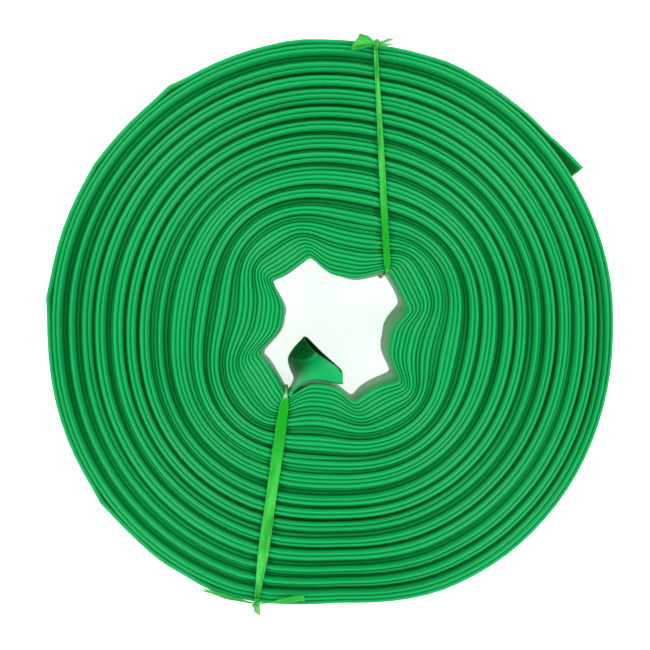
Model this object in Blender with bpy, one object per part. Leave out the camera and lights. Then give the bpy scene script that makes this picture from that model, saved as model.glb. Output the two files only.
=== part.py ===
"""A flat soaker hose wound into a tight coil, held by two ribbon ties.

The coil lies on its side: its axis is +Z, it rests on Z = 0, and the origin is on that plane
under the middle of the coil. The hose lies flat, so each turn shows one folded edge on the
top face and one on the underside. Turns are counted from the inner end, and the angle falls
as the count grows. Lengths are in metres and angles in degrees, counter-clockwise from +X.
"""

import math

import bmesh
import bpy
import numpy as np
from mathutils import Matrix, Vector

# The hose.
HOSE_WIDTH = 0.041
HOSE_THICKNESS = 0.0018
FREE_END_LIFT = 0.0005

# The coil.
RIM_RADIUS = 0.1513
TURN_RISE = 0.0035
COIL_HEIGHT = HOSE_WIDTH + TURN_RISE
INNER_END_ANGLE = 240.0
OUTER_END_ANGLE = 52.0
WHOLE_TURNS = 50
TURNS = WHOLE_TURNS + (INNER_END_ANGLE - OUTER_END_ANGLE) / 360
END_GAP = 0.0012

# The core wall is a star at its top. Each row is a corner's angle and radius, then the angle and radius
# of the bulge that follows it, and the power by which the bulge runs up to its corners.
CORE_FOLDS = (
    (10.1, 0.0411, 26.0, 0.0397, 2.0),
    (44.3, 0.0416, 78.5, 0.0262, 3.0),
    (105.7, 0.0371, 126.0, 0.0346, 2.2),
    (142.6, 0.0386, 171.0, 0.0251, 3.0),
    (199.8, 0.0404, 212.0, 0.0386, 2.0),
    (238.6, 0.0439, 262.0, 0.0290, 3.0),
    (286.6, 0.0402, 302.0, 0.0385, 2.0),
    (322.0, 0.0453, 347.0, 0.0315, 3.0),
)
# The star that the core wall makes at its foot, where it is a little wider.
FOOT_FOLDS = (
    (16.9, 0.0434, 29.0, 0.0438, 2.0),
    (41.7, 0.0446, 74.0, 0.0291, 3.2),
    (102.5, 0.0431, 123.0, 0.0393, 2.0),
    (140.9, 0.0430, 169.0, 0.0254, 3.2),
    (202.7, 0.0418, 213.0, 0.0399, 2.0),
    (239.0, 0.0458, 262.0, 0.0305, 3.0),
    (288.8, 0.0432, 302.0, 0.0395, 2.0),
    (324.1, 0.0452, 350.0, 0.0317, 3.2),
)
# How far the rim stands out from a circle, as (angle, distance).
RIM_SWELL = (
    (0, -0.0011),
    (8, -0.0002),
    (22, 0.0),
    (50, 0.0006),
    (64, 0.0005),
    (80, -0.0014),
    (98, 0.0),
    (120, -0.0002),
    (136, -0.0006),
    (160, -0.0013),
    (184, -0.0021),
    (204, 0.0),
    (222, 0.0013),
    (236, 0.0016),
    (252, 0.0012),
    (261, -0.0025),
    (272, -0.0052),
    (284, -0.0016),
    (292, 0.0008),
    (308, 0.0021),
    (324, 0.0017),
    (344, 0.0),
)
SWELL_SPREAD = 2.5
# Each turn smooths out the folds of the one inside it, over this many degrees.
CORE_SPREAD = 1.0
FIRST_SPREAD = 0.9
SPREAD_STEP = 0.45
MOST_SPREAD = 6.0
LEAST_PITCH_SHARE = 0.5
RING_SAMPLES = 720
OUTLINE_POINTS = 200

# The outer end stands off the coil along these (angle, radius) points of its middle.
OUTER_END_ROUTE = ((46.5, 0.1528), (41.5, 0.1534), (37.3, 0.1554), (32.0, 0.1583))
OUTER_END_STATIONS = 12
OUTER_END_ROWS = 3

# The inner end's upper edge follows the core wall and then runs straight on. Its lower edge
# swings out into the core, and the strip between them is bowed near the cut.
INNER_ROOT = (-0.0204, -0.0353)
INNER_UPPER_ROUTE = (
    (-0.0180, -0.0326),
    (-0.0145, -0.0300),
    (-0.0088, -0.0284),
    (-0.0032, -0.0291),
    (0.0018, -0.0302),
    (0.0068, -0.0308),
)
INNER_LOWER_ROUTE = (
    (-0.0196, -0.0325, 0.0012),
    (-0.0215, -0.0270, 0.0035),
    (-0.0232, -0.0205, 0.0070),
    (-0.0208, -0.0140, 0.0110),
    (-0.0155, -0.0064, 0.0160),
)
INNER_BOW = (0.0055, 0.0, -0.0015)
INNER_BOW_POWER = 0.56
INNER_BOW_GROWTH = 1.5
INNER_END_STATIONS = 12
INNER_END_ROWS = 8

# The ribbon ties.
TOP_TIE_WIDTH = 0.0032
BOTTOM_TIE_WIDTH = 0.0036
TIE_THICKNESS = 0.0004
TIE_SLACK = 0.0008
GROOVE_DEPTH = 0.0012
GROOVE_CLEARANCE = 0.0006
GROOVE_OVERRUN = 0.006
TIE_LIFT = 0.0004
KNOT_RADIUS = 0.0015
KNOT_OFFSET = 0.0013
END_LOW = COIL_HEIGHT + 0.0008
END_HIGH = END_LOW + 0.0005
TOP_TIE_CORE = (44.6, 0.0388)
TOP_TIE_RIM_ANGLE = 80.7
BOTTOM_TIE_CORE = (234.3, 0.0396)
BOTTOM_TIE_RIM_ANGLE = 255.1
# The plan outlines of the ribbons' short ends, from the knot outwards and back.
TOP_TIE_LOOP = (
    (0.0222, 0.1484),
    (0.0222, 0.1506),
    (0.0196, 0.1537),
    (0.0147, 0.1546),
    (0.0114, 0.1464),
    (0.0166, 0.1467),
)
TOP_TIE_ENDS = (
    (0.0269, 0.1501),
    (0.0269, 0.1484),
    (0.0342, 0.1490),
    (0.0300, 0.1496),
    (0.0321, 0.1510),
)
BOTTOM_TIE_LONG_END = (
    (-0.0413, -0.1479),
    (-0.0413, -0.1464),
    (-0.0538, -0.1423),
    (-0.0670, -0.1388),
    (-0.0688, -0.1398),
    (-0.0538, -0.1445),
)
BOTTOM_TIE_SHORT_END = (
    (-0.0369, -0.1464),
    (-0.0369, -0.1476),
    (-0.0290, -0.1474),
    (-0.0131, -0.1447),
    (-0.0149, -0.1426),
    (-0.0305, -0.1461),
)
BOTTOM_TIE_POINT = (
    (-0.0405, -0.1490),
    (-0.0372, -0.1522),
    (-0.0370, -0.1490),
)

# Looks, as linear colours.
HOSE_COLOUR = (0.010, 0.430, 0.105, 1.0)
HOSE_ROUGHNESS = 0.38
TIE_COLOUR = (0.070, 0.640, 0.085, 1.0)
TIE_ROUGHNESS = 0.45
SMOOTH_ANGLE = math.radians(35)

RING_ANGLES = np.arange(RING_SAMPLES) * 360 / RING_SAMPLES


def clear_scene():
    """Removes whatever the scene holds."""
    for obj in list(bpy.data.objects):
        bpy.data.objects.remove(obj, do_unlink=True)


def make_material(name, colour, roughness):
    """A plastic finish of one colour."""
    material = bpy.data.materials.new(name)
    material.use_nodes = True
    shader = material.node_tree.nodes["Principled BSDF"]
    shader.inputs["Base Color"].default_value = colour
    shader.inputs["Roughness"].default_value = roughness
    shader.inputs["Metallic"].default_value = 0.0
    material.diffuse_color = colour
    return material


def add_object(name, bm, material, pivot=(0, 0, 0)):
    """Makes an object from world-space geometry, with its origin at the pivot."""
    bmesh.ops.recalc_face_normals(bm, faces=bm.faces)
    bmesh.ops.translate(bm, verts=bm.verts, vec=-Vector(pivot))
    mesh = bpy.data.meshes.new(name)
    bm.to_mesh(mesh)
    bm.free()
    mesh.materials.append(material)
    mesh.shade_smooth()
    mesh.set_sharp_from_angle(angle=SMOOTH_ANGLE)
    obj = bpy.data.objects.new(name, mesh)
    obj.location = pivot
    bpy.context.scene.collection.objects.link(obj)
    return obj


def polar(angle, radius):
    """The plan point at an angle and a radius."""
    return radius * math.cos(math.radians(angle)), radius * math.sin(math.radians(angle))


def softened(ring, spread):
    """A closed ring of radii, blurred over this many degrees."""
    waves = np.arange(RING_SAMPLES // 2 + 1) * math.radians(spread)
    return np.fft.irfft(np.fft.rfft(ring) * np.exp(-0.5 * waves**2), RING_SAMPLES)


def core_outline(folds):
    """The radius of a star-shaped core wall at each ring angle."""
    ring = np.zeros(RING_SAMPLES)
    for fold, following in zip(folds, folds[1:] + folds[:1]):
        corner, corner_radius, bulge, bulge_radius, power = fold
        ahead = following[0] + (360 if following[0] < corner else 0)
        turned = np.where(RING_ANGLES < corner, RING_ANGLES + 360, RING_ANGLES)
        for edge, edge_radius in ((corner, corner_radius), (ahead, following[1])):
            share = (turned - bulge) / (edge - bulge)
            side = (share >= 0) & (share <= 1)
            ring[side] = bulge_radius + (edge_radius - bulge_radius) * share[side] ** power
    return ring


def rim_outline():
    """The radius wanted at the rim at each ring angle."""
    angles, swells = np.array(RIM_SWELL).T
    return RIM_RADIUS + softened(np.interp(RING_ANGLES, angles, swells, period=360), SWELL_SPREAD)


def turn_rings(folds):
    """The boundaries between neighbouring turns, from the core wall out, as rings of radii."""
    ring = softened(core_outline(folds), CORE_SPREAD)
    core_radius = ring.mean()
    rim_turn = TURNS + 0.5
    pitch = (RIM_RADIUS - core_radius) / rim_turn
    rings = [ring]
    for turn in range(1, int(TURNS) + 3):
        spread = min(MOST_SPREAD, FIRST_SPREAD + SPREAD_STEP * (turn - 1))
        least = ring + LEAST_PITCH_SHARE * pitch
        ring = np.maximum(softened(ring, spread) + pitch, least)
        ring += core_radius + turn * pitch - ring.mean()
        rings.append(ring)
    rings = np.array(rings)
    below = int(rim_turn)
    at_rim = rings[below] + (rings[below + 1] - rings[below]) * (rim_turn % 1)
    share = np.arange(len(rings))[:, None] / rim_turn
    return rings + (rim_outline() - at_rim) * share**2


RINGS = turn_rings(CORE_FOLDS)
FOOT_RINGS = turn_rings(FOOT_FOLDS)


def angle_at(turns):
    """The angle that the hose has reached after this many turns from its inner end."""
    return (INNER_END_ANGLE - 360 * turns) % 360


def boundary(turns, layers_out=0, rings=RINGS):
    """The radius of the hose's inner face after this many turns, or of a face further out."""
    below = int(math.floor(turns)) + layers_out
    angle = angle_at(turns)
    inner, outer = (
        float(np.interp(angle, RING_ANGLES, rings[ring], period=360)) for ring in (below, below + 1)
    )
    return inner + (outer - inner) * (turns % 1)


def rim_radius(angle):
    """The radius of the coil's outside at an angle."""
    back = ((angle - OUTER_END_ANGLE) % 360) / 360
    return boundary(TURNS - back, 1)


def smooth_route(points, count):
    """Points spread evenly along a smooth curve through the given ones."""
    given = np.array(points, float)
    lengths = np.linalg.norm(np.diff(given, axis=0), axis=1)
    along = np.concatenate([[0], np.cumsum(lengths)])
    slopes = np.gradient(given, along, axis=0)
    route = []
    for at in np.linspace(0, along[-1], count):
        k = min(int(np.searchsorted(along, at, side="right")) - 1, len(lengths) - 1)
        t = (at - along[k]) / lengths[k]
        pull = lengths[k] * (t * (1 - t) ** 2 * slopes[k] - t**2 * (1 - t) * slopes[k + 1])
        route.append(given[k] + (given[k + 1] - given[k]) * (3 * t**2 - 2 * t**3) + pull)
    return np.array(route)


def add_outline_prism(name, outlines, low, high, material, low_outlines=None):
    """Joins closed outlines at the high level to the same or other ones at the low level."""
    bm = bmesh.new()
    levels = []
    for height, plan in ((low, low_outlines or outlines), (high, outlines)):
        rings = [[bm.verts.new((x, y, height)) for x, y in outline] for outline in plan]
        pairs = [pair for ring in rings for pair in zip(ring, ring[1:] + ring[:1])]
        edges = [bm.edges.new(pair) for pair in pairs]
        bmesh.ops.triangle_fill(bm, use_beauty=True, edges=edges)
        levels.append(pairs)
    for (a, b), (c, d) in zip(*levels):
        bm.faces.new((a, b, d, c))
    bmesh.ops.recalc_face_normals(bm, faces=bm.faces)
    return add_object(name, bm, material)


def add_strip(name, grid, material, pivot):
    """A flat strip through a grid of points, of the hose's thickness."""
    bm = bmesh.new()
    rows = [[bm.verts.new(point) for point in station] for station in grid]
    for near, far in zip(rows, rows[1:]):
        for a, b, c, d in zip(near, near[1:], far[1:], far):
            bm.faces.new((a, b, c, d))
    strip = add_object(name, bm, material, pivot)
    solidify = strip.modifiers.new("Solidify", "SOLIDIFY")
    solidify.thickness = HOSE_THICKNESS
    solidify.offset = 0.0
    solidify.use_even_offset = True
    return strip


def add_coil(material):
    """The wound turns as one solid, from the star-shaped core wall to the rim."""
    turned = np.linspace(0, 1, OUTLINE_POINTS)
    core = [polar(angle_at(turn), boundary(turn)) for turn in turned]
    foot = [polar(angle_at(turn), boundary(turn, 0, FOOT_RINGS)) for turn in turned]
    start = TURNS - 1
    rim = [polar(angle_at(start + turn), boundary(start + turn, 1)) for turn in turned]
    return add_outline_prism("hose_coil", (core, rim), 0.0, COIL_HEIGHT, material, (foot, rim))


def middle_of_turn(turns):
    """The plan point at the middle of the hose's thickness after this many turns."""
    return polar(angle_at(turns), (boundary(turns) + boundary(turns, 1)) / 2)


def step_on(start, following, distance):
    """A plan point this far from start towards the following point."""
    start = Vector(start)
    return tuple(start + (Vector(following) - start).normalized() * distance)


def add_outer_end(material):
    """The free outer end, which stands off the coil and swings about its root."""
    route = [polar(angle, radius) for angle, radius in OUTER_END_ROUTE]
    root = step_on(middle_of_turn(TURNS), route[0], END_GAP)
    heights = np.linspace(FREE_END_LIFT, FREE_END_LIFT + HOSE_WIDTH, OUTER_END_ROWS)
    middle = smooth_route([root] + route, OUTER_END_STATIONS)
    grid = [[(x, y, z) for z in heights] for x, y in middle]
    return add_strip("hose_outer_end", grid, material, (*root, 0.0))


def add_inner_end(material):
    """The free inner end, a short twisted flap that stands in the core."""
    top = FREE_END_LIFT + HOSE_WIDTH
    high_points = [(x, y, top) for x, y in (INNER_ROOT, *INNER_UPPER_ROUTE)]
    upper = smooth_route(high_points, INNER_END_STATIONS)
    lower = smooth_route([(*INNER_ROOT, FREE_END_LIFT), *INNER_LOWER_ROUTE], INNER_END_STATIONS)
    grid = []
    for station, (high, low) in enumerate(zip(upper, lower)):
        growth = (station / (INNER_END_STATIONS - 1)) ** INNER_BOW_GROWTH
        down = np.linspace(0, 1, INNER_END_ROWS)[:, None]
        bow = np.sin(math.pi * down**INNER_BOW_POWER) * np.array(INNER_BOW) * growth
        grid.append(high + (low - high) * down + bow)
    return add_strip("hose_inner_end", grid, material, (*INNER_ROOT, 0.0))


def tie_route(core_place, rim_angle):
    """A tie's plan points at the core wall and at the rim, clear of the coil."""
    core = Vector(polar(*core_place))
    rim = Vector(polar(rim_angle, rim_radius(rim_angle) + TIE_SLACK))
    return core, rim


def add_tie_band(name, core, rim, width, material):
    """A ribbon that runs over the coil, down its rim, back under it and up the core wall."""
    run = (rim - core).normalized()
    bm = bmesh.new()
    loops = []
    for outward in (TIE_THICKNESS, 0.0):
        ends = (core - run * outward, rim + run * outward)
        low = TIE_LIFT + TIE_THICKNESS - outward
        high = COIL_HEIGHT - TIE_LIFT - TIE_THICKNESS + outward
        places = ((ends[0], low), (ends[1], low), (ends[1], high), (ends[0], high))
        loops.append([bm.verts.new((*place, height)) for place, height in places])
    for k in range(4):
        ahead = (k + 1) % 4
        bm.faces.new((loops[0][k], loops[0][ahead], loops[1][ahead], loops[1][k]))
    side = Vector((-run.y, run.x, 0)) * width
    bmesh.ops.translate(bm, verts=bm.verts, vec=-side / 2)
    raised = bmesh.ops.extrude_face_region(bm, geom=bm.faces[:], use_keep_orig=True)["geom"]
    moved = [vert for vert in raised if isinstance(vert, bmesh.types.BMVert)]
    bmesh.ops.translate(bm, verts=moved, vec=side)
    return add_object(name, bm, material)


def cut_tie_grooves(coil, name, core, rim, width):
    """Lets a ribbon lie below the coil's top face and above its underside."""
    run = rim - core
    bm = bmesh.new()
    for height in (0.0, COIL_HEIGHT):
        size = Matrix.Diagonal((run.length + 2 * GROOVE_OVERRUN, width, 2 * GROOVE_DEPTH, 1))
        turn = Matrix.Rotation(math.atan2(run.y, run.x), 4, "Z")
        middle = Matrix.Translation((*((core + rim) / 2), height))
        bmesh.ops.create_cube(bm, size=1.0, matrix=middle @ turn @ size)
    cutter = add_object(name + "_cutter", bm, coil.data.materials[0])
    cutter.hide_render = True
    cutter.display_type = "WIRE"
    groove = coil.modifiers.new(name, "BOOLEAN")
    groove.operation = "DIFFERENCE"
    groove.solver = "EXACT"
    groove.object = cutter


def add_knot(name, rim_angle, material):
    """The knot that closes a ribbon, on the upper corner of the rim."""
    radius = rim_radius(rim_angle) + KNOT_OFFSET
    centre = Vector((*polar(rim_angle, radius), COIL_HEIGHT + KNOT_OFFSET))
    bm = bmesh.new()
    bmesh.ops.create_icosphere(
        bm, subdivisions=2, radius=KNOT_RADIUS, matrix=Matrix.Translation(centre)
    )
    return add_object(name, bm, material)


def main():
    clear_scene()
    hose = make_material("hose", HOSE_COLOUR, HOSE_ROUGHNESS)
    ribbon = make_material("tie", TIE_COLOUR, TIE_ROUGHNESS)
    coil = add_coil(hose)
    add_outer_end(hose)
    add_inner_end(hose)
    ties = (
        ("top_tie", TOP_TIE_CORE, TOP_TIE_RIM_ANGLE, TOP_TIE_WIDTH),
        ("bottom_tie", BOTTOM_TIE_CORE, BOTTOM_TIE_RIM_ANGLE, BOTTOM_TIE_WIDTH),
    )
    for name, core_place, rim_angle, width in ties:
        core, rim = tie_route(core_place, rim_angle)
        cut_tie_grooves(coil, name + "_groove", core, rim, width + 2 * GROOVE_CLEARANCE)
        add_tie_band(name + "_band", core, rim, width, ribbon)
        add_knot(name + "_knot", rim_angle, ribbon)
    ribbon_ends = (
        ("top_tie_loop", TOP_TIE_LOOP),
        ("top_tie_ends", TOP_TIE_ENDS),
        ("bottom_tie_long_end", BOTTOM_TIE_LONG_END),
        ("bottom_tie_short_end", BOTTOM_TIE_SHORT_END),
        ("bottom_tie_point", BOTTOM_TIE_POINT),
    )
    for name, outline in ribbon_ends:
        add_outline_prism(name, (outline,), END_LOW, END_HIGH, ribbon)


main()
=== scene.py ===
"""The looks of the coiled flat soaker hose: every turn of the hose, its two free ends and the
ribbons that tie it. Lengths are in metres and angles in degrees, counter-clockwise from +X.
"""

import math

import bpy
import numpy as np
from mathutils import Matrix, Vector


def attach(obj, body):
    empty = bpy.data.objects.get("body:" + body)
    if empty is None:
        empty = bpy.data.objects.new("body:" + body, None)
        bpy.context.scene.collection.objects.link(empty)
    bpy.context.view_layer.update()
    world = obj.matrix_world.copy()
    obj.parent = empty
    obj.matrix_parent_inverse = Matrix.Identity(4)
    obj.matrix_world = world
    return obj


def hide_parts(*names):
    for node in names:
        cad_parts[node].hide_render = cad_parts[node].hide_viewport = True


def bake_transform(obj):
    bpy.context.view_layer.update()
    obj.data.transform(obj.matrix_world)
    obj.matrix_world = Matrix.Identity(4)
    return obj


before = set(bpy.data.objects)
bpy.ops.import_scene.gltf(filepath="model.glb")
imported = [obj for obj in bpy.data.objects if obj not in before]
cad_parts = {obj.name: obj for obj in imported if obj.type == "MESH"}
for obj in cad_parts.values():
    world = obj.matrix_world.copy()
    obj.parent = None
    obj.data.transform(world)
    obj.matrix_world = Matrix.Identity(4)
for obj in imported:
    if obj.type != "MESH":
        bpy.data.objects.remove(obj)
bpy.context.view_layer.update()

# The hose, as in the CAD.
HOSE_WIDTH = 0.041
TURN_RISE = 0.0035
RIM_RADIUS = 0.1513
INNER_END_ANGLE = 240.0
OUTER_END_ANGLE = 52.0
WHOLE_TURNS = 50
TURNS = WHOLE_TURNS + (INNER_END_ANGLE - OUTER_END_ANGLE) / 360
RIM_TURN = TURNS + 0.5

# The star that the core wall makes at its top. Each row is one fold: the angle and radius of its
# outer corner, the angle and radius of the bulge after it, and the power of the curve between.
CORE_FOLDS = (
    (10.1, 0.0411, 26.0, 0.0397, 2.0),
    (44.3, 0.0416, 78.5, 0.0262, 3.0),
    (105.7, 0.0371, 126.0, 0.0346, 2.2),
    (142.6, 0.0386, 171.0, 0.0251, 3.0),
    (199.8, 0.0404, 212.0, 0.0386, 2.0),
    (238.6, 0.0439, 262.0, 0.0290, 3.0),
    (286.6, 0.0402, 302.0, 0.0385, 2.0),
    (322.0, 0.0453, 347.0, 0.0315, 3.0),
)

# The star that the core wall makes at its foot, where it is a little wider.
FOOT_FOLDS = (
    (16.9, 0.0434, 29.0, 0.0438, 2.0),
    (41.7, 0.0446, 74.0, 0.0291, 3.2),
    (102.5, 0.0431, 123.0, 0.0393, 2.0),
    (140.9, 0.0430, 169.0, 0.0254, 3.2),
    (202.7, 0.0418, 213.0, 0.0399, 2.0),
    (239.0, 0.0458, 262.0, 0.0305, 3.0),
    (288.8, 0.0432, 302.0, 0.0395, 2.0),
    (324.1, 0.0452, 350.0, 0.0317, 3.2),
)

# The uneven rim, as (angle, how far it stands out from the rim radius).
RIM_SWELL = (
    (0, -0.0011),
    (8, -0.0002),
    (22, 0.0),
    (50, 0.0006),
    (64, 0.0005),
    (80, -0.0014),
    (98, 0.0),
    (120, -0.0002),
    (136, -0.0006),
    (160, -0.0013),
    (184, -0.0021),
    (204, 0.0),
    (222, 0.0013),
    (236, 0.0016),
    (252, 0.0012),
    (261, -0.0025),
    (272, -0.0052),
    (284, -0.0016),
    (292, 0.0008),
    (308, 0.0021),
    (324, 0.0017),
    (344, 0.0),
)

# How the folds soften from turn to turn on the way out. Each spread is a blur in degrees.
SWELL_SPREAD = 2.5
CORE_SPREAD = 1.0
FIRST_SPREAD = 0.9
SPREAD_STEP = 0.45
MOST_SPREAD = 6.0
LEAST_PITCH_SHARE = 0.5
RING_SAMPLES = 720
RING_ANGLES = np.arange(RING_SAMPLES) * 360 / RING_SAMPLES

# The wound turns' mesh, with more stations to a turn in the folds near the core.
FINE_TURNS = 14
FINE_STATIONS = 150
STATIONS = 100
TURN_GAP = 0.00002
FOLD_HEIGHT = 0.0008
FOLD_STEPS = 6
FOLD_POWER = 1.5

# Some turns sit lower than their neighbours, as (turn, share of the rise, half width in turns).
SUNKEN_TURNS = (
    (6.5, 0.35, 0.5),
    (10.5, 0.55, 0.9),
    (15.0, 0.85, 0.8),
    (18.5, 0.60, 0.5),
    (23.4, 0.95, 0.8),
    (26.7, 0.75, 0.5),
    (30.1, 1.0, 0.55),
    (33.3, 0.9, 0.6),
    (36.7, 1.0, 0.55),
    (40.4, 0.85, 0.6),
    (43.6, 1.0, 0.6),
    (46.8, 1.0, 0.75),
)
SINK_MARGIN = 0.1
SINK_EDGE = 0.25
# Painted shade on the sunken turns: the share of its crest tone that a fully sunken turn keeps.
SUNKEN_SHADE_TONE = 0.35

# The small rise and fall of every turn, as its height and its waves' (rate in a turn, phase).
RIPPLE = 0.0005
RIPPLE_WAVES = ((5.1, 0.7), (3.3, 2.0))

# Kinks in the outermost turn, as (angle, how far it stands out).
KINKS = (
    (65.0, 0.0007),
    (97.0, 0.0007),
    (124.0, 0.0016),
    (145.0, 0.0007),
    (174.0, 0.0012),
    (218.0, 0.0013),
    (234.0, 0.0007),
    (245.0, 0.0011),
)
KINK_REACH = 5.0
KINK_POWER = 1.5

# The free ends: a flattened tube that opens a little at its cut.
END_THICKNESS = 0.0021
END_WALL = 0.0008
END_ROWS = 61
END_ROUNDING = 10
END_CREST_POWER = 8
OPENING_POWER = 1.5
LEAST_GAP = 0.00004
CAVITY_STATIONS = 16
FREE_END_LIFT = 0.0005
OUTER_END_ROUTE = ((46.5, 0.1528), (41.5, 0.1534), (37.3, 0.1554), (32.0, 0.1583))
OUTER_END_GAP = 0.0004
OUTER_END_STATIONS = 40
OUTER_END_SLANT = 0.004
SLANT_START = 0.5
OUTER_END_OPENING = 0.0006
OUTER_HINGE = (0.09446, 0.11896)
INNER_END_START = 0.0005
INNER_ROOT = (-0.0204, -0.0353)
INNER_UPPER_ROUTE = (
    (-0.0180, -0.0326),
    (-0.0145, -0.0300),
    (-0.0088, -0.0284),
    (-0.0032, -0.0291),
    (0.0018, -0.0302),
    (0.0068, -0.0308),
)
INNER_LOWER_ROUTE = (
    (-0.0196, -0.0325, 0.0012),
    (-0.0215, -0.0270, 0.0035),
    (-0.0232, -0.0205, 0.0070),
    (-0.0208, -0.0140, 0.0110),
    (-0.0155, -0.0064, 0.0160),
)

# How the inner end bows sideways, most at a share of the way down from its upper edge.
INNER_BOW = (0.0050, 0.0022, 0.0010)
INNER_BOW_PLACE = 0.22
INNER_BOW_SHARPNESS = 6.0
INNER_BOW_GROWTH = 1.5
LEAST_BOW_SHARE = 1e-3
INNER_END_STATIONS = 40
INNER_END_OPENING = 0.0013

# How far the inner end's near wall is cut back behind its far wall.
INNER_RECESS = 0.0026
RECESS_START = 0.24
RECESS_POWER = 0.6
RECESS_GROWTH = 2

# The round crease about the inner end's lower tip, with a painted highlight along it, and the
# painted tones on either side of it: painted light on the flap and painted shade on the tip. A tone
# of 1 is a fold's crest with its painted highlight, more is the crease's stronger painted
# highlight, 0 is a plain wall and -1 is painted shade inside the tube.
CREASE_REACH = 0.0135
CREASE_WIDTH = 0.0009
CREASE_SLOPE = 0.22
CREASE_HIGHLIGHT_TONE = 1.6
CREASE_TONE_SHIFT = 0.5
# The flap is painted light and the tip past the crease is painted in shade.
FLAP_LIGHT_TONE = 0.95
TIP_SHADE_TONE = 0.0
TONE_SHARPNESS = 2
INSIDE_SHADE_TONE = -1.0
EXPONENT_LIMIT = 30

# A length along the outer end from its hinge, which only scales a direction that nothing uses.
BLEND_LENGTH = 0.012

# The ribbon's own section, and how it ruffles across its width and sways along it.
RIBBON_THICKNESS = 0.00022
RIBBON_STEPS = 60
RIBBON_ROWS = 9
RIBBON_RUFFLE = 0.00025
RUFFLE_WAVES = 2.5
RUFFLE_PHASE = 1.3
RUFFLE_TWIST = 2.0
RUFFLE_EDGE_POWER = 4
RUFFLE_FULL_WIDTH = 0.004
SWAY_SHARE = 0.6
SWAY_RATE = 17.0
LEAST_NORMAL = 1e-12

# A band's way round the coil, and how deep and how far it presses the folds in.
RIBBON_CREST = 0.0439
RIBBON_LIFT = 0.0002
RIBBON_LOW = 0.0003
RIBBON_CORNER = 0.0012
CORNER_CUT = 0.3 * RIBBON_CORNER
BAND_SHARES = (0.03, 0.1, 0.25, 0.5, 0.75, 0.9, 0.97)
BAND_STEPS = 220
BAND_SEAM = 0.0001
RIBBON_DIP = 0.0009
RIBBON_DIP_REACH = 0.0045
RIBBON_DIP_POWER = 4

# How far the pale bend and the deep colour reach from a band's core end.
TOP_PALE_REACH = 0.0006
BOTTOM_PALE_REACH = 0.0025
DEEP_REACH = 0.075

# The two bands, each from the core to the rim. A width row is (share of the way out, width).
TOP_TIE = ((0.0301, 0.0290), (0.0237, 0.1491))
TOP_TIE_FOOT = (0.0322, 0.0292)
TOP_TIE_WIDTHS = (
    (0.0, 0.0017),
    (0.03, 0.0032),
    (0.3, 0.0036),
    (0.6, 0.0030),
    (0.85, 0.0022),
    (1.0, 0.0020),
)
BOTTOM_TIE = ((-0.0236, -0.0362), (-0.0394, -0.1481))
BOTTOM_TIE_FOOT = (-0.0247, -0.0366)
BOTTOM_TIE_WIDTHS = (
    (0.0, 0.0017),
    (0.03, 0.0040),
    (0.08, 0.0050),
    (0.2, 0.0060),
    (0.55, 0.0054),
    (0.75, 0.0056),
    (0.85, 0.0040),
    (1.0, 0.0021),
)

# Short ribbon ends, each as its two edges from the knot outwards.
TOP_LOOP = (
    (
        (0.0231, 0.1486, 0.0459),
        (0.0198, 0.1518, 0.0466),
        (0.0153, 0.1527, 0.0469),
        (0.0150, 0.1525, 0.0477),
        (0.0192, 0.1504, 0.0479),
        (0.0231, 0.1485, 0.0468),
    ),
    (
        (0.0228, 0.1472, 0.0457),
        (0.0172, 0.1458, 0.0460),
        (0.0108, 0.1450, 0.0462),
        (0.0110, 0.1453, 0.0470),
        (0.0160, 0.1466, 0.0474),
        (0.0228, 0.1475, 0.0466),
    ),
)
TOP_ENDS = (
    (
        (
            (0.0243, 0.1487, 0.0461),
            (0.0278, 0.1494, 0.0468),
            (0.0302, 0.1501, 0.0473),
            (0.0327, 0.1499, 0.0471),
        ),
        (
            (0.0243, 0.1481, 0.0461),
            (0.0278, 0.1479, 0.0466),
            (0.0300, 0.1484, 0.0470),
            (0.0325, 0.1493, 0.0470),
        ),
    ),
    (
        (
            (0.0243, 0.1482, 0.0458),
            (0.0275, 0.1480, 0.0462),
            (0.0300, 0.1479, 0.0464),
            (0.0328, 0.1476, 0.0463),
        ),
        (
            (0.0242, 0.1476, 0.0458),
            (0.0262, 0.1463, 0.0460),
            (0.0290, 0.1465, 0.0462),
            (0.0322, 0.1472, 0.0462),
        ),
    ),
)
BOTTOM_LONG_ENDS = (
    (
        (
            (-0.0408, -0.1446, 0.0457),
            (-0.0500, -0.1424, 0.0453),
            (-0.0580, -0.1398, 0.0455),
            (-0.0671, -0.1371, 0.0458),
        ),
        (
            (-0.0408, -0.1453, 0.0457),
            (-0.0500, -0.1436, 0.0452),
            (-0.0580, -0.1414, 0.0454),
            (-0.0668, -0.1380, 0.0457),
        ),
    ),
    (
        (
            (-0.0409, -0.1450, 0.0452),
            (-0.0480, -0.1437, 0.0447),
            (-0.0560, -0.1415, 0.0449),
            (-0.0625, -0.1396, 0.0452),
            (-0.0690, -0.1382, 0.0454),
        ),
        (
            (-0.0409, -0.1457, 0.0452),
            (-0.0480, -0.1449, 0.0446),
            (-0.0560, -0.1433, 0.0447),
            (-0.0625, -0.1406, 0.0450),
            (-0.0688, -0.1388, 0.0453),
        ),
    ),
)
BOTTOM_SHORT_END = (
    (
        (-0.0374, -0.1451, 0.0458),
        (-0.0316, -0.1447, 0.0452),
        (-0.0256, -0.1430, 0.0455),
        (-0.0210, -0.1417, 0.0459),
        (-0.0142, -0.1409, 0.0463),
    ),
    (
        (-0.0374, -0.1457, 0.0458),
        (-0.0316, -0.1456, 0.0452),
        (-0.0256, -0.1456, 0.0454),
        (-0.0195, -0.1447, 0.0456),
        (-0.0134, -0.1439, 0.0459),
    ),
)
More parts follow.
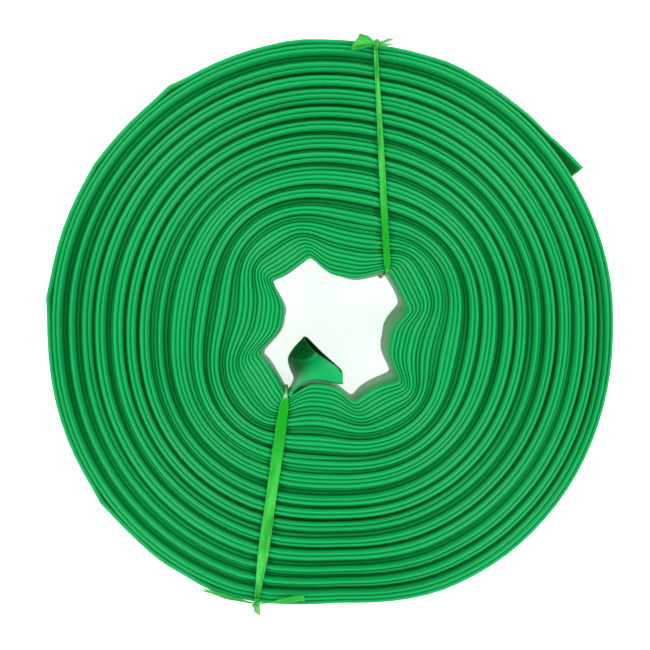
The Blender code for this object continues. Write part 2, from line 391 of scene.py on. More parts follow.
BOTTOM_POINT = (
    (
        (-0.0404, -0.1466, 0.0463),
        (-0.0402, -0.1488, 0.0461),
        (-0.0374, -0.1515, 0.0457),
    ),
    (
        (-0.0370, -0.1462, 0.0463),
        (-0.0366, -0.1482, 0.0461),
        (-0.0368, -0.1512, 0.0457),
    ),
)

# The knots. Their turns are in radians.
TOP_KNOT = (0.0236, 0.1482, 0.0462)
TOP_KNOT_TURN = 0.4
BOTTOM_KNOT = (-0.0390, -0.1452, 0.0460)
BOTTOM_KNOT_TURN = 1.3
KNOT_SIZE = 0.00062
KNOT_DEPTH = 1.1
KNOT_STATIONS = 96
KNOT_SIDES = 10
KNOT_SECTION = (0.0010, 0.00045)

# Colours, linear.
# The first hose colour is a painted highlight, mixed in along the crest of each fold.
HOSE_CREST_HIGHLIGHT = (0.005, 0.350, 0.096, 1.0)
HOSE_MIDDLE = (0.002, 0.255, 0.058, 1.0)
HOSE_DARK = (0.0004, 0.155, 0.030, 1.0)
# A paler green painted on as a highlight along the inner end's crease.
HOSE_CREASE_HIGHLIGHT = (0.080, 0.470, 0.170, 1.0)
# Painted shade inside the free ends' tubes.
HOSE_INSIDE_SHADE = (0.0, 0.020, 0.002, 1.0)
TIE_LIGHT = (0.060, 0.520, 0.080, 1.0)
TIE_DARK = (0.006, 0.240, 0.010, 1.0)
TIE_PALE = (0.500, 0.700, 0.420, 1.0)
TIE_DEEP = (0.003, 0.330, 0.008, 1.0)
FLOOR_COLOUR = (0.96, 0.96, 0.96, 1.0)
SKY_COLOUR = (1.0, 1.0, 1.0, 1.0)

# Surface patterns, as (scale along, scale across, detail, roughness).
HOSE_CLOUD = (6.0, 120.0, 3.0, 0.55)
HOSE_LINES = (25.0, 2600.0, 4.0, 0.55)
HOSE_GRAIN = (1500.0, 3000.0, 2.0, 0.55)
TIE_STREAKS = (30.0, 450.0, 5.0, 0.65)
TIE_CLOUD = (60.0, 300.0, 2.0, 0.55)

# The stretch of a pattern or a tone that a mix uses, and how strong each mix is.
HOSE_CLOUD_SPAN = (0.3, 0.7)
# The crest span and share set how much painted highlight each fold's crest gets.
HOSE_CREST_SPAN = (0.5, 1.0)
HOSE_CREST_SHARE = 0.9
# How much of the painted crease highlight is mixed in.
HOSE_CREASE_HIGHLIGHT_SHARE = 0.8
LINES_SPAN = (0.3, 0.7)
TIE_STREAK_SPAN = (0.42, 0.60)
TIE_CLOUD_SPAN = (0.4, 0.75)
TIE_CLOUD_SHARE = 0.6
TIE_DEEP_SHARE = 0.9
TIE_PALE_SHARE = 0.7

# Gloss, and bumps as (strength, height).
HOSE_ROUGHNESS = (0.30, 0.46)
HOSE_SPECULAR = 0.10
GRAIN_BUMP = (0.06, 0.0001)
LINES_BUMP = (0.22, 0.0002)
TIE_ROUGHNESS = (0.25, 0.45)
TIE_SPECULAR = 0.12
TIE_ALPHA = 0.78
STREAKS_BUMP = (0.35, 0.0002)

# The floor, the sky and the side lights.
FLOOR_HALF = 3
FLOOR_HEIGHT = -0.0002
FLOOR_ROUGHNESS = 0.8
FLOOR_GLOW = 0.75
SKY_STRENGTH = 0.5
LIGHT_COUNT = 4
FIRST_LIGHT_ANGLE = 45
LIGHT_REACH = 1.15
LIGHT_HEIGHT = 0.60
LIGHT_SIZE = 0.7
LIGHT_POWER = 13.6

# The camera.
CAMERA_PLACE = (-0.0131, 0.0050, 0.320)
CAMERA_LENS = 28.99
CAMERA_SHIFT = (0.0299, -0.0128)


def polar(angle, radius):
    """The plan point at an angle and a radius."""
    return radius * math.cos(math.radians(angle)), radius * math.sin(math.radians(angle))


def softened(ring, spread):
    """A closed ring of radii, blurred over this many degrees."""
    waves = np.arange(RING_SAMPLES // 2 + 1) * math.radians(spread)
    return np.fft.irfft(np.fft.rfft(ring) * np.exp(-0.5 * waves**2), RING_SAMPLES)


def core_outline(folds):
    """The radius of a star-shaped core wall at each ring angle."""
    ring = np.zeros(RING_SAMPLES)
    for fold, following in zip(folds, folds[1:] + folds[:1]):
        corner, corner_radius, bulge, bulge_radius, power = fold
        ahead = following[0] + (360 if following[0] < corner else 0)
        turned = np.where(RING_ANGLES < corner, RING_ANGLES + 360, RING_ANGLES)
        for edge, edge_radius in ((corner, corner_radius), (ahead, following[1])):
            share = (turned - bulge) / (edge - bulge)
            side = (share >= 0) & (share <= 1)
            ring[side] = bulge_radius + (edge_radius - bulge_radius) * share[side] ** power
    return ring


def rim_outline():
    """The radius wanted at the rim at each ring angle."""
    angles, swells = np.array(RIM_SWELL).T
    return RIM_RADIUS + softened(np.interp(RING_ANGLES, angles, swells, period=360), SWELL_SPREAD)


def turn_rings(folds):
    """The boundaries between neighbouring turns, from the core wall out, as rings of radii."""
    ring = softened(core_outline(folds), CORE_SPREAD)
    core_radius = ring.mean()
    pitch = (RIM_RADIUS - core_radius) / RIM_TURN
    rings = [ring]
    for turn in range(1, int(TURNS) + 3):
        spread = min(MOST_SPREAD, FIRST_SPREAD + SPREAD_STEP * (turn - 1))
        least = ring + LEAST_PITCH_SHARE * pitch
        ring = np.maximum(softened(ring, spread) + pitch, least)
        ring += core_radius + turn * pitch - ring.mean()
        rings.append(ring)
    rings = np.array(rings)
    below = int(RIM_TURN)
    at_rim = rings[below] + (rings[below + 1] - rings[below]) * (RIM_TURN % 1)
    share = np.arange(len(rings))[:, None] / RIM_TURN
    return rings + (rim_outline() - at_rim) * share**2


RINGS = turn_rings(CORE_FOLDS)
FOOT_RINGS = turn_rings(FOOT_FOLDS)


def angles_at(turns):
    """The angle that the hose has reached after these many turns from its inner end."""
    return (INNER_END_ANGLE - 360 * turns) % 360


def boundaries(turns, layers_out=0, rings=RINGS):
    """The radius of the hose's inner face after these many turns, or of a face further out."""
    whole = np.floor(turns).astype(int)
    place = angles_at(turns) * RING_SAMPLES / 360
    first = np.floor(place).astype(int)
    share = place - first
    first %= RING_SAMPLES
    second = (first + 1) % RING_SAMPLES
    inner, outer = (
        rings[whole + layer, first] * (1 - share) + rings[whole + layer, second] * share
        for layer in (layers_out, layers_out + 1)
    )
    return inner + (outer - inner) * (turns % 1)


def lifts(turns):
    """How far the hose stands above the lowest turn, after these many turns."""
    sunk = np.zeros_like(turns)
    for centre, depth, half in SUNKEN_TURNS:
        inside = half + SINK_MARGIN + SINK_EDGE - np.abs(turns - centre)
        edge = np.clip(inside / (2 * SINK_EDGE), 0, 1)
        sunk = np.maximum(sunk, depth * edge**2 * (3 - 2 * edge))
    ripple = sum(np.sin(turns * rate + phase) for rate, phase in RIPPLE_WAVES) / len(RIPPLE_WAVES)
    level = TURN_RISE - RIPPLE * (1 + ripple) / 2
    return np.clip(level * (1 - sunk), 0, TURN_RISE)


def kinks(turns):
    """How far the outermost turn stands out from its place, after these many turns."""
    angles = angles_at(turns)
    out = np.zeros_like(turns)
    for angle, height in KINKS:
        away = np.abs(angles - angle) / KINK_REACH
        out += height * np.clip(1 - away, 0, 1) ** KINK_POWER
    return np.where(turns > TURNS - 1, out, 0)


def tie_dips(places):
    """How far the ribbons press the folds in at these plan points."""
    dip = np.zeros(len(places))
    for start, end in (TOP_TIE, BOTTOM_TIE):
        start = np.array(start)
        run = np.array(end) - start
        share = np.clip((places - start) @ run / (run @ run), 0, 1)
        away = np.linalg.norm(places - start - share[:, None] * run, axis=1)
        press = np.exp(-((away / RIBBON_DIP_REACH) ** RIBBON_DIP_POWER))
        dip = np.maximum(dip, RIBBON_DIP * press)
    return dip


def smooth_route(points, count):
    """Points spread evenly along a smooth curve through the given ones."""
    given = np.array(points, float)
    lengths = np.linalg.norm(np.diff(given, axis=0), axis=1)
    along = np.concatenate([[0], np.cumsum(lengths)])
    slopes = np.gradient(given, along, axis=0)
    at = np.linspace(0, along[-1], count)
    k = np.clip(np.searchsorted(along, at, side="right") - 1, 0, len(lengths) - 1)
    t = ((at - along[k]) / lengths[k])[:, None]
    pull = lengths[k][:, None] * (t * (1 - t) ** 2 * slopes[k] - t**2 * (1 - t) * slopes[k + 1])
    return given[k] + (given[k + 1] - given[k]) * (3 * t**2 - 2 * t**3) + pull


def grid_normals(grid):
    """The normal at each point of a grid of points."""
    normals = np.cross(np.gradient(grid, axis=0), np.gradient(grid, axis=1))
    return normals / np.maximum(np.linalg.norm(normals, axis=2), LEAST_NORMAL)[:, :, None]


def loft(name, rings, material, tones=None, capped=True):
    """A skin over closed rings of points, with the length along and around it as its UV map."""
    stations, count = rings.shape[:2]
    i, j = np.meshgrid(np.arange(stations - 1), np.arange(count), indexing="ij")
    k = (j + 1) % count
    faces = np.stack([i * count + j, i * count + k, (i + 1) * count + k, (i + 1) * count + j], -1)
    middles = rings.mean(axis=1)
    along = np.concatenate([[0], np.cumsum(np.linalg.norm(np.diff(middles, axis=0), axis=1))])
    sides = np.linalg.norm(np.roll(rings[0], -1, axis=0) - rings[0], axis=1)
    around = np.concatenate([[0], np.cumsum(sides)])
    uvs = np.stack(
        [
            np.stack([along[i], along[i], along[i + 1], along[i + 1]], -1),
            np.stack([around[j], around[j + 1], around[j + 1], around[j]], -1),
        ],
        -1,
    ).reshape(-1, 2)
    polygons = faces.reshape(-1, 4).tolist()
    if capped:
        polygons.append(list(range(count)))
        polygons.append([stations * count - 1 - n for n in range(count)])
        uvs = np.concatenate([uvs, np.zeros((2 * count, 2))])
    mesh = bpy.data.meshes.new(name)
    mesh.from_pydata(rings.reshape(-1, 3).tolist(), [], polygons)
    layer = mesh.uv_layers.new(name="UVMap")
    layer.data.foreach_set("uv", uvs.astype(np.float32).ravel())
    if tones is not None:
        crest = mesh.attributes.new("crest", "FLOAT", "POINT")
        crest.data.foreach_set("value", np.asarray(tones, np.float32).ravel())
    mesh.update()
    mesh.materials.append(material)
    mesh.shade_smooth()
    obj = bpy.data.objects.new(name, mesh)
    bpy.context.scene.collection.objects.link(obj)
    return obj


def add_turns(material):
    """The wound turns of the hose as one swept tube."""
    fine = np.arange(FINE_TURNS * FINE_STATIONS) / FINE_STATIONS
    rest = np.linspace(FINE_TURNS, TURNS, int((TURNS - FINE_TURNS) * STATIONS) + 1)
    turns = np.concatenate([fine, rest])
    out = kinks(turns)
    inner = boundaries(turns) + TURN_GAP + out
    outer = boundaries(turns, 1) - TURN_GAP + out
    foot_inner = boundaries(turns, 0, FOOT_RINGS) + TURN_GAP + out
    foot_outer = boundaries(turns, 1, FOOT_RINGS) - TURN_GAP + out
    lift = lifts(turns)
    angles = np.radians(angles_at(turns))
    steps = np.linspace(0, math.pi, FOLD_STEPS + 1)
    across = -np.cos(steps)
    crown = 1 - np.abs(across) ** FOLD_POWER
    middle = (inner + outer) / 2
    half = (outer - inner) / 2
    foot_middle = (foot_inner + foot_outer) / 2
    foot_half = (foot_outer - foot_inner) / 2
    places = middle[:, None] * np.stack([np.cos(angles), np.sin(angles)], -1)
    dip = tie_dips(places)
    upper = lift + HOSE_WIDTH - np.minimum(dip, lift)
    lower = lift + np.minimum(dip, TURN_RISE - lift)
    radii = [middle + half * a for a in across]
    radii += [foot_middle + foot_half * a for a in across[::-1]]
    heights = [upper - FOLD_HEIGHT * (1 - c) for c in crown]
    heights += [lower + FOLD_HEIGHT * (1 - c) for c in crown[::-1]]
    radii = np.array(radii).T
    heights = np.array(heights).T
    rings = np.stack(
        [radii * np.cos(angles)[:, None], radii * np.sin(angles)[:, None], heights], -1
    )
    # Painted shade: the lower a turn sits, the less of its crest tone it keeps, so sunken turns are
    # painted darker.
    sunken_shade = SUNKEN_SHADE_TONE + (1 - SUNKEN_SHADE_TONE) * lift / TURN_RISE
    # Each fold's crest tone sets the painted highlight mixed into its colour.
    tones = sunken_shade[:, None] * np.concatenate([crown, crown[::-1]])
    return loft("hose_turns", rings, material, tones)


def flat_tube(name, grid, opening, material, recess=0.0, tones=None):
    """A flattened tube about a grid of points, closed at its root and open at its cut."""
    stations, rows = grid.shape[:2]
    along = np.gradient(grid, axis=0)
    along /= np.linalg.norm(along, axis=2)[:, :, None]
    normals = grid_normals(grid)
    place = np.linspace(-1, 1, rows)
    swell = np.sqrt(1 - np.abs(place) ** END_ROUNDING)
    cavity_start = stations - CAVITY_STATIONS
    open_share = np.clip((np.arange(stations) - cavity_start) / CAVITY_STATIONS, 0, 1)[:, None]
    half = END_THICKNESS / 2 * swell + opening * open_share**OPENING_POWER * (1 - place**2)
    share = np.clip((np.linspace(0, 1, rows) - RECESS_START) / (1 - RECESS_START), 0, 1)
    back = recess * open_share**RECESS_GROWTH * np.sin(math.pi * share**RECESS_POWER)
    near = grid - along * back[..., None]
    outer = np.concatenate(
        [near + normals * half[..., None], (grid - normals * half[..., None])[:, -2:0:-1]], axis=1
    )
    inset = 1 - 2 * END_WALL / HOSE_WIDTH
    middle = grid.mean(axis=1, keepdims=True)
    core = middle + (grid - middle) * inset
    near_core = middle + (near - middle) * inset
    gap = np.maximum(half - END_WALL * swell, LEAST_GAP * swell)[..., None]
    inner = np.concatenate([near_core + normals * gap, (core - normals * gap)[:, -2:0:-1]], axis=1)
    rings = np.concatenate([outer, inner[: cavity_start - 1 : -1]])
    # The folded edges of a free end carry the painted highlight along their crests.
    crests = np.broadcast_to(np.abs(place) ** END_CREST_POWER, grid.shape[:2])
    tones = crests if tones is None else np.maximum(crests, tones)
    tones = np.concatenate([tones, tones[:, -2:0:-1]], axis=1)
    # The inside of the tube carries painted shade.
    inside = np.full((len(rings) - stations, tones.shape[1]), INSIDE_SHADE_TONE)
    return loft(name, rings, material, np.concatenate([tones, inside]))


def row_shares():
    """Each row's share of the way across a free end, closer together at the edges."""
    return (1 - np.cos(np.linspace(0, math.pi, END_ROWS))) / 2


def rows_between(upper, lower):
    """A grid of points across the strip between two edges."""
    return upper[:, None] + (lower - upper)[:, None] * row_shares()[None, :, None]


def add_outer_end(material):
    """The free outer end, which stands off the coil."""
    start = TURNS - OUTER_END_GAP
    angle = np.array([start])
    root_radius = float((boundaries(angle) + boundaries(angle, 1))[0] / 2)
    root_angle = float(angles_at(angle)[0])
    route = [polar(root_angle, root_radius)] + [polar(a, r) for a, r in OUTER_END_ROUTE]
    middle = smooth_route(route, OUTER_END_STATIONS)
    lift = float(lifts(angle)[0])
    count = len(middle)
    rise = np.linspace(lift, FREE_END_LIFT, count)
    upper = np.concatenate([middle, (rise + HOSE_WIDTH)[:, None]], axis=1)
    lower = np.concatenate([middle, rise[:, None]], axis=1)
    last = middle[-1] - middle[-2]
    last /= np.linalg.norm(last)
    slant = np.clip((np.arange(count) / (count - 1) - SLANT_START) / (1 - SLANT_START), 0, 1)
    lower[:, :2] += slant[:, None] * OUTER_END_SLANT * last
    return flat_tube("outer_end", rows_between(upper, lower), OUTER_END_OPENING, material)


def inner_bow():
    """How far each point of the inner end bows out from the straight strip."""
    share = row_shares()
    growth = (np.arange(INNER_END_STATIONS) / (INNER_END_STATIONS - 1)) ** INNER_BOW_GROWTH
    climb = np.maximum(share / INNER_BOW_PLACE, LEAST_BOW_SHARE)
    fall = np.maximum((1 - share) / (1 - INNER_BOW_PLACE), LEAST_BOW_SHARE)
    bow = (climb**-INNER_BOW_SHARPNESS + fall**-INNER_BOW_SHARPNESS) ** (-1 / INNER_BOW_SHARPNESS)
    return growth[:, None, None] * bow[None, :, None] * np.array(INNER_BOW)


def add_inner_end(material):
    """The free inner end, a short twisted flap that stands in the core."""
    start = np.array([INNER_END_START])
    turn_root, foot_root = (
        polar(
            float(angles_at(start)[0]),
            float((boundaries(start, 0, rings) + boundaries(start, 1, rings))[0] / 2),
        )
        for rings in (RINGS, FOOT_RINGS)
    )
    top = FREE_END_LIFT + HOSE_WIDTH
    lift = float(lifts(start)[0])
    upper = smooth_route(
        [(*turn_root, lift + HOSE_WIDTH), (*INNER_ROOT, top)]
        + [(x, y, top) for x, y in INNER_UPPER_ROUTE],
        INNER_END_STATIONS,
    )
    lower = smooth_route(
        [(*foot_root, lift), (*INNER_ROOT, FREE_END_LIFT), *INNER_LOWER_ROUTE], INNER_END_STATIONS
    )
    grid = rows_between(upper, lower) + inner_bow()
    inside = (CREASE_REACH - np.linalg.norm((grid - grid[-1, -1])[..., :2], axis=2)) / CREASE_WIDTH
    bend = CREASE_WIDTH * np.log1p(np.exp(np.clip(inside, -EXPONENT_LIMIT, EXPONENT_LIMIT)))
    grid = grid - grid_normals(grid) * (CREASE_SLOPE * bend)[..., None]
    # Painted light over the flap and painted shade over the tip past the crease.
    step = np.clip(inside * TONE_SHARPNESS, -EXPONENT_LIMIT, EXPONENT_LIMIT)
    tones = FLAP_LIGHT_TONE + (TIP_SHADE_TONE - FLAP_LIGHT_TONE) / (1 + np.exp(-step))
    # Painted highlight along the crease.
    tones += (CREASE_HIGHLIGHT_TONE - FLAP_LIGHT_TONE) * np.exp(-((inside + CREASE_TONE_SHIFT) ** 2))
    return flat_tube("inner_end", grid, INNER_END_OPENING, material, INNER_RECESS, tones)


def ribbon(name, left, right, material, steps=RIBBON_STEPS, foot=None, pale_reach=None):
    """A thin ribbon between two edges, with small lengthwise ruffles."""
    left = smooth_route(left, steps)
    right = smooth_route(right, steps)
    share = np.linspace(0, 1, RIBBON_ROWS)
    grid = left[:, None] + (right - left)[:, None] * share[None, :, None]
    normals = grid_normals(grid)
    width = np.linalg.norm(right - left, axis=1)
    way = np.arange(steps) / steps
    phase = RUFFLE_PHASE + RUFFLE_TWIST * way[:, None]
    waves = np.cos(share * 2 * math.pi * RUFFLE_WAVES + phase)
    waves = waves * (1 - (2 * share - 1) ** RUFFLE_EDGE_POWER)
    waves = waves + SWAY_SHARE * np.sin(way * SWAY_RATE)[:, None]
    shift = RIBBON_RUFFLE * np.clip(width / RUFFLE_FULL_WIDTH, 0, 1)[:, None] * waves
    grid = grid + normals * shift[..., None]
    half = normals * RIBBON_THICKNESS / 2
    rings = np.concatenate([grid + half, (grid - half)[:, ::-1]], axis=1)
    tone = np.zeros(rings.shape[:2])
    if foot is not None:
        away = np.linalg.norm((rings - foot)[..., :2], axis=2)
        pale = np.exp(-((away / pale_reach) ** 2))
        tone = pale - (1 - pale) * np.clip(1 - away / DEEP_REACH, 0, 1)
    return loft(name, rings, material, tone)


def band_track(length):
    """A band's closed way round the coil, as (distance out from the core wall, height)."""
    track = [(0.0, RIBBON_CREST / 2), (0.0, RIBBON_CREST - RIBBON_CORNER)]
    track += [(CORNER_CUT, RIBBON_CREST - CORNER_CUT)]
    track += [(length * share, RIBBON_CREST + RIBBON_LIFT) for share in BAND_SHARES]
    track += [(length - CORNER_CUT, RIBBON_CREST - CORNER_CUT)]
    track += [(length, RIBBON_CREST - RIBBON_CORNER), (length, RIBBON_CREST / 2)]
    track += [(length, RIBBON_LOW + RIBBON_CORNER), (length - CORNER_CUT, RIBBON_LOW + CORNER_CUT)]
    track += [(length * share, RIBBON_LOW) for share in reversed(BAND_SHARES)]
    track += [(CORNER_CUT, RIBBON_LOW + CORNER_CUT), (0.0, RIBBON_LOW + RIBBON_CORNER)]
    return track + [(0.0, RIBBON_CREST / 2 - BAND_SEAM)]


def add_band(name, core, rim, foot, widths, pale_reach, material):
    """A ribbon's whole way round the coil: over the top, down the rim, under and up the core."""
    core = np.array(core)
    rim = np.array(rim)
    length = np.linalg.norm(rim - core)
    run = (rim - core) / length
    side = np.array((-run[1], run[0]))
    shares, sizes = np.array(widths).T
    left = []
    right = []
    for out, height in band_track(length):
        half = float(np.interp(out / length, shares, sizes)) / 2
        lean = (1 - out / length) * (1 - height / RIBBON_CREST)
        middle = core + run * out + (np.array(foot) - core) * lean
        left.append((*(middle + side * half), height))
        right.append((*(middle - side * half), height))
    return ribbon(name, left, right, material, BAND_STEPS, np.array((*core, 0.0)), pale_reach)


def add_knot(name, centre, turn, material):
    """A small overhand knot: a flat strand swept along a trefoil."""
    t = np.arange(KNOT_STATIONS + 1) * 2 * math.pi / KNOT_STATIONS
    across = np.sin(t) + 2 * np.sin(2 * t)
    along = np.cos(t) - 2 * np.cos(2 * t)
    path = np.stack([across, along, -KNOT_DEPTH * np.sin(3 * t)], -1) * KNOT_SIZE
    cos, sin = math.cos(turn), math.sin(turn)
    path = path @ np.array(((cos, sin, 0), (-sin, cos, 0), (0, 0, 1))) + np.array(centre)
    tangents = np.gradient(path, axis=0)
    tangents[0] = tangents[-1] = path[1] - path[-2]
    tangents /= np.linalg.norm(tangents, axis=1)[:, None]
    outward = path - np.array(centre)
    outward -= (outward * tangents).sum(1)[:, None] * tangents
    outward /= np.linalg.norm(outward, axis=1)[:, None]
    sideways = np.cross(tangents, outward)
    around = np.arange(KNOT_SIDES) * 2 * math.pi / KNOT_SIDES
    wide, thin = KNOT_SECTION
    rings = (
        path[:, None]
        + sideways[:, None] * (wide * np.cos(around))[None, :, None]
        + outward[:, None] * (thin * np.sin(around))[None, :, None]
    )
    return loft(name, rings, material, capped=False)


def node(tree, kind, **inputs):
    """A shader node with its sockets set or joined."""
    made = tree.nodes.new(kind)
    for name, value in inputs.items():
        socket = made.inputs[name.replace("_", " ")]
        if isinstance(value, bpy.types.NodeSocket):
            tree.links.new(value, socket)
        else:
            socket.default_value = value
    return made


def stretched_noise(tree, pattern):
    """Noise on the UV map, at its own scale along and across the strip."""
    along, across, detail, roughness = pattern
    coordinates = node(tree, "ShaderNodeTexCoord")
    mapping = node(tree, "ShaderNodeMapping", Vector=coordinates.outputs["UV"])
    mapping.inputs["Scale"].default_value = (along, across, 1.0)
    noise = node(tree, "ShaderNodeTexNoise", Vector=mapping.outputs["Vector"], Scale=1.0)
    noise.inputs["Detail"].default_value = detail
    noise.inputs["Roughness"].default_value = roughness
    return noise.outputs["Fac"]


def crest_tone(tree):
    """The tone that the mesh carries at each point."""
    attribute = tree.nodes.new("ShaderNodeAttribute")
    attribute.attribute_name = "crest"
    return attribute.outputs["Fac"]


def mixed(tree, share, first, second):
    """A colour mix."""
    mix = tree.nodes.new("ShaderNodeMix")
    mix.data_type = "RGBA"
    for socket, value in ((mix.inputs[0], share), (mix.inputs[6], first), (mix.inputs[7], second)):
        if isinstance(value, bpy.types.NodeSocket):
            tree.links.new(value, socket)
        else:
            socket.default_value = value
    return mix.outputs[2]


def ranged(tree, value, span, wanted):
    """A value moved from one range to another."""
    moved = node(tree, "ShaderNodeMapRange", Value=value)
    moved.inputs["From Min"].default_value, moved.inputs["From Max"].default_value = span
    moved.inputs["To Min"].default_value, moved.inputs["To Max"].default_value = wanted
    return moved.outputs["Result"]


def bumped(tree, height, size, **normal):
    """A bump over the plain surface, or over another bump's normal."""
    strength, distance = size
    bump = node(tree, "ShaderNodeBump", Height=height, **normal)
    bump.inputs["Strength"].default_value = strength
    bump.inputs["Distance"].default_value = distance
    return bump.outputs["Normal"]


def new_material(name):
    """A material with nodes, its tree and its Principled shader."""
    material = bpy.data.materials.new(name)
    material.use_nodes = True
    return material, material.node_tree, material.node_tree.nodes["Principled BSDF"]


def hose_material():
    """Soft glossy plastic, drawn in fine lengthwise lines, with a painted highlight along each
    fold's crest and along the inner end's crease, and painted shade on the sunken turns, on the
    inner end's tip and inside the free ends.
    """
    material, tree, shader = new_material("hose_plastic")
    cloud = stretched_noise(tree, HOSE_CLOUD)
    lines = stretched_noise(tree, HOSE_LINES)
    grain = stretched_noise(tree, HOSE_GRAIN)
    crest = crest_tone(tree)
    colour = mixed(tree, ranged(tree, cloud, HOSE_CLOUD_SPAN, (0, 1)), HOSE_DARK, HOSE_MIDDLE)
    # Painted highlight along the crest of each fold.
    lit = ranged(tree, crest, HOSE_CREST_SPAN, (0, HOSE_CREST_SHARE))
    colour = mixed(tree, lit, colour, HOSE_CREST_HIGHLIGHT)
    # Painted highlight along the inner end's crease, for tones past a fold's crest.
    crease_highlight = ranged(tree, crest, (1, CREASE_HIGHLIGHT_TONE), (0, HOSE_CREASE_HIGHLIGHT_SHARE))
    colour = mixed(tree, crease_highlight, colour, HOSE_CREASE_HIGHLIGHT)
    # Painted shade inside the free ends.
    colour = mixed(tree, ranged(tree, crest, (INSIDE_SHADE_TONE, 0), (1, 0)), colour, HOSE_INSIDE_SHADE)
    tree.links.new(colour, shader.inputs["Base Color"])
    tree.links.new(ranged(tree, lines, LINES_SPAN, HOSE_ROUGHNESS), shader.inputs["Roughness"])
    shader.inputs["Specular IOR Level"].default_value = HOSE_SPECULAR
    fine = bumped(tree, grain, GRAIN_BUMP)
    tree.links.new(bumped(tree, lines, LINES_BUMP, Normal=fine), shader.inputs["Normal"])
    return material


def tie_material():
    """Thin shiny ribbon with strong lengthwise streaks that lets some light through."""
    material, tree, shader = new_material("tie_ribbon")
    streaks = stretched_noise(tree, TIE_STREAKS)
    cloud = stretched_noise(tree, TIE_CLOUD)
    crest = crest_tone(tree)
    colour = mixed(tree, ranged(tree, streaks, TIE_STREAK_SPAN, (0, 1)), TIE_DARK, TIE_LIGHT)
    lit = ranged(tree, cloud, TIE_CLOUD_SPAN, (0, TIE_CLOUD_SHARE))
    colour = mixed(tree, lit, colour, TIE_LIGHT)
    colour = mixed(tree, ranged(tree, crest, (-1, 0), (TIE_DEEP_SHARE, 0)), colour, TIE_DEEP)
    colour = mixed(tree, ranged(tree, crest, (0, 1), (0, TIE_PALE_SHARE)), colour, TIE_PALE)
    tree.links.new(colour, shader.inputs["Base Color"])
    tree.links.new(ranged(tree, streaks, LINES_SPAN, TIE_ROUGHNESS), shader.inputs["Roughness"])
    shader.inputs["Alpha"].default_value = TIE_ALPHA
    shader.inputs["Specular IOR Level"].default_value = TIE_SPECULAR
    tree.links.new(bumped(tree, streaks, STREAKS_BUMP), shader.inputs["Normal"])
    return material


def add_camera():
    """Looks straight down at the coil."""
    data = bpy.data.cameras.new("camera")
    data.lens = CAMERA_LENS
    data.shift_x, data.shift_y = CAMERA_SHIFT
    camera = bpy.data.objects.new("camera", data)
    camera.location = CAMERA_PLACE
    bpy.context.scene.collection.objects.link(camera)
    bpy.context.scene.camera = camera


def add_light(name, place):
    """A square soft light that faces the coil."""
    data = bpy.data.lights.new(name, "AREA")
    data.size = LIGHT_SIZE
    data.energy = LIGHT_POWER
    light = bpy.data.objects.new(name, data)
    light.location = place
    light.rotation_euler = (-Vector(place)).to_track_quat("-Z", "Y").to_euler()
    bpy.context.scene.collection.objects.link(light)


def add_floor():
    """A plain pale floor with a soft glow of its own."""
    material, _, shader = new_material("floor")
    shader.inputs["Base Color"].default_value = FLOOR_COLOUR
    shader.inputs["Roughness"].default_value = FLOOR_ROUGHNESS
    shader.inputs["Emission Color"].default_value = FLOOR_COLOUR
    shader.inputs["Emission Strength"].default_value = FLOOR_GLOW
    corners = [(x * FLOOR_HALF, y * FLOOR_HALF, 0) for x, y in ((-1, -1), (1, -1), (1, 1), (-1, 1))]
    mesh = bpy.data.meshes.new("floor")
    mesh.from_pydata(corners, [], [(0, 1, 2, 3)])
    mesh.materials.append(material)
    floor = bpy.data.objects.new("floor", mesh)
    floor.location = (0, 0, FLOOR_HEIGHT)
    bpy.context.scene.collection.objects.link(floor)


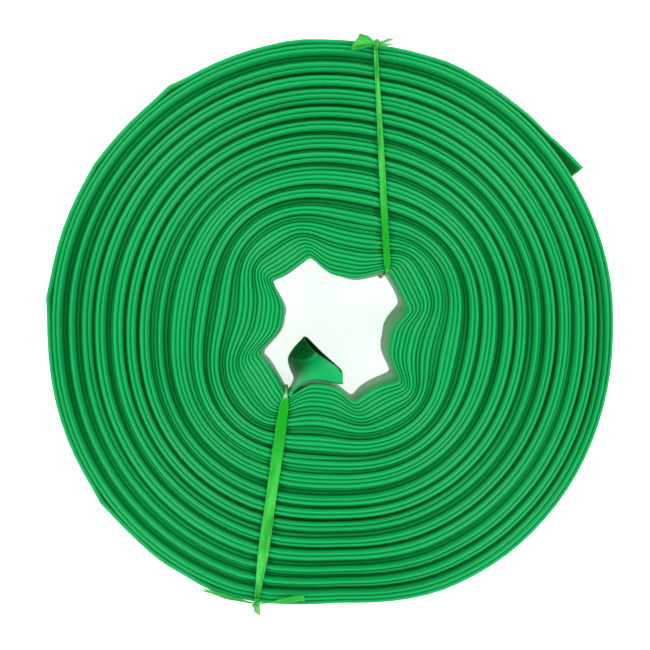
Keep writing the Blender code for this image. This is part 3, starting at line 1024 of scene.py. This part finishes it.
def add_stage():
    """The floor, an even sky and soft lights on every side."""
    add_floor()
    world = bpy.data.worlds.new("sky")
    world.use_nodes = True
    world.node_tree.nodes["Background"].inputs["Color"].default_value = SKY_COLOUR
    world.node_tree.nodes["Background"].inputs["Strength"].default_value = SKY_STRENGTH
    bpy.context.scene.world = world
    for k in range(LIGHT_COUNT):
        angle = FIRST_LIGHT_ANGLE + 360 / LIGHT_COUNT * k
        add_light(f"side_{k}", (*polar(angle, LIGHT_REACH), LIGHT_HEIGHT))


def add_hose(material):
    """The wound turns and the two free ends, in place of their CAD parts."""
    turns = add_turns(material)
    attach(turns, "coil")
    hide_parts("hose_coil")
    outer = add_outer_end(material)
    root = np.array(OUTER_HINGE)
    along = np.array(polar(*OUTER_END_ROUTE[0])) - root
    along = along / np.linalg.norm(along) * BLEND_LENGTH
    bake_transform(outer)
    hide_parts("hose_outer_end")
    inner = add_inner_end(material)
    root = np.array(INNER_ROOT)
    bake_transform(inner)
    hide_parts("hose_inner_end")


def add_ties(material):
    """The two ribbons, each as its band, its knot and its loose ends."""
    top_band = (*TOP_TIE, TOP_TIE_FOOT, TOP_TIE_WIDTHS, TOP_PALE_REACH)
    bottom_band = (*BOTTOM_TIE, BOTTOM_TIE_FOOT, BOTTOM_TIE_WIDTHS, BOTTOM_PALE_REACH)
    pieces = [
        (add_band("top_band", *top_band, material), "top_tie_band"),
        (add_band("bottom_band", *bottom_band, material), "bottom_tie_band"),
        (add_knot("top_knot", TOP_KNOT, TOP_KNOT_TURN, material), "top_tie_knot"),
        (add_knot("bottom_knot", BOTTOM_KNOT, BOTTOM_KNOT_TURN, material), "bottom_tie_knot"),
        (ribbon("top_loop", *TOP_LOOP, material), "top_tie_loop"),
        (ribbon("bottom_short_end", *BOTTOM_SHORT_END, material), "bottom_tie_short_end"),
        (ribbon("bottom_point", *BOTTOM_POINT, material), "bottom_tie_point"),
    ]
    for k, edges in enumerate(TOP_ENDS):
        pieces.append((ribbon(f"top_end_{k}", *edges, material), "top_tie_ends"))
    for k, edges in enumerate(BOTTOM_LONG_ENDS):
        pieces.append((ribbon(f"bottom_long_end_{k}", *edges, material), "bottom_tie_long_end"))
    for piece, cad_node in pieces:
        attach(piece, "coil")
        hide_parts(cad_node)


def main():
    """The whole scene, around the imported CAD."""
    bpy.context.scene.view_settings.view_transform = "Standard"
    add_camera()
    add_stage()
    add_hose(hose_material())
    add_ties(tie_material())


main()
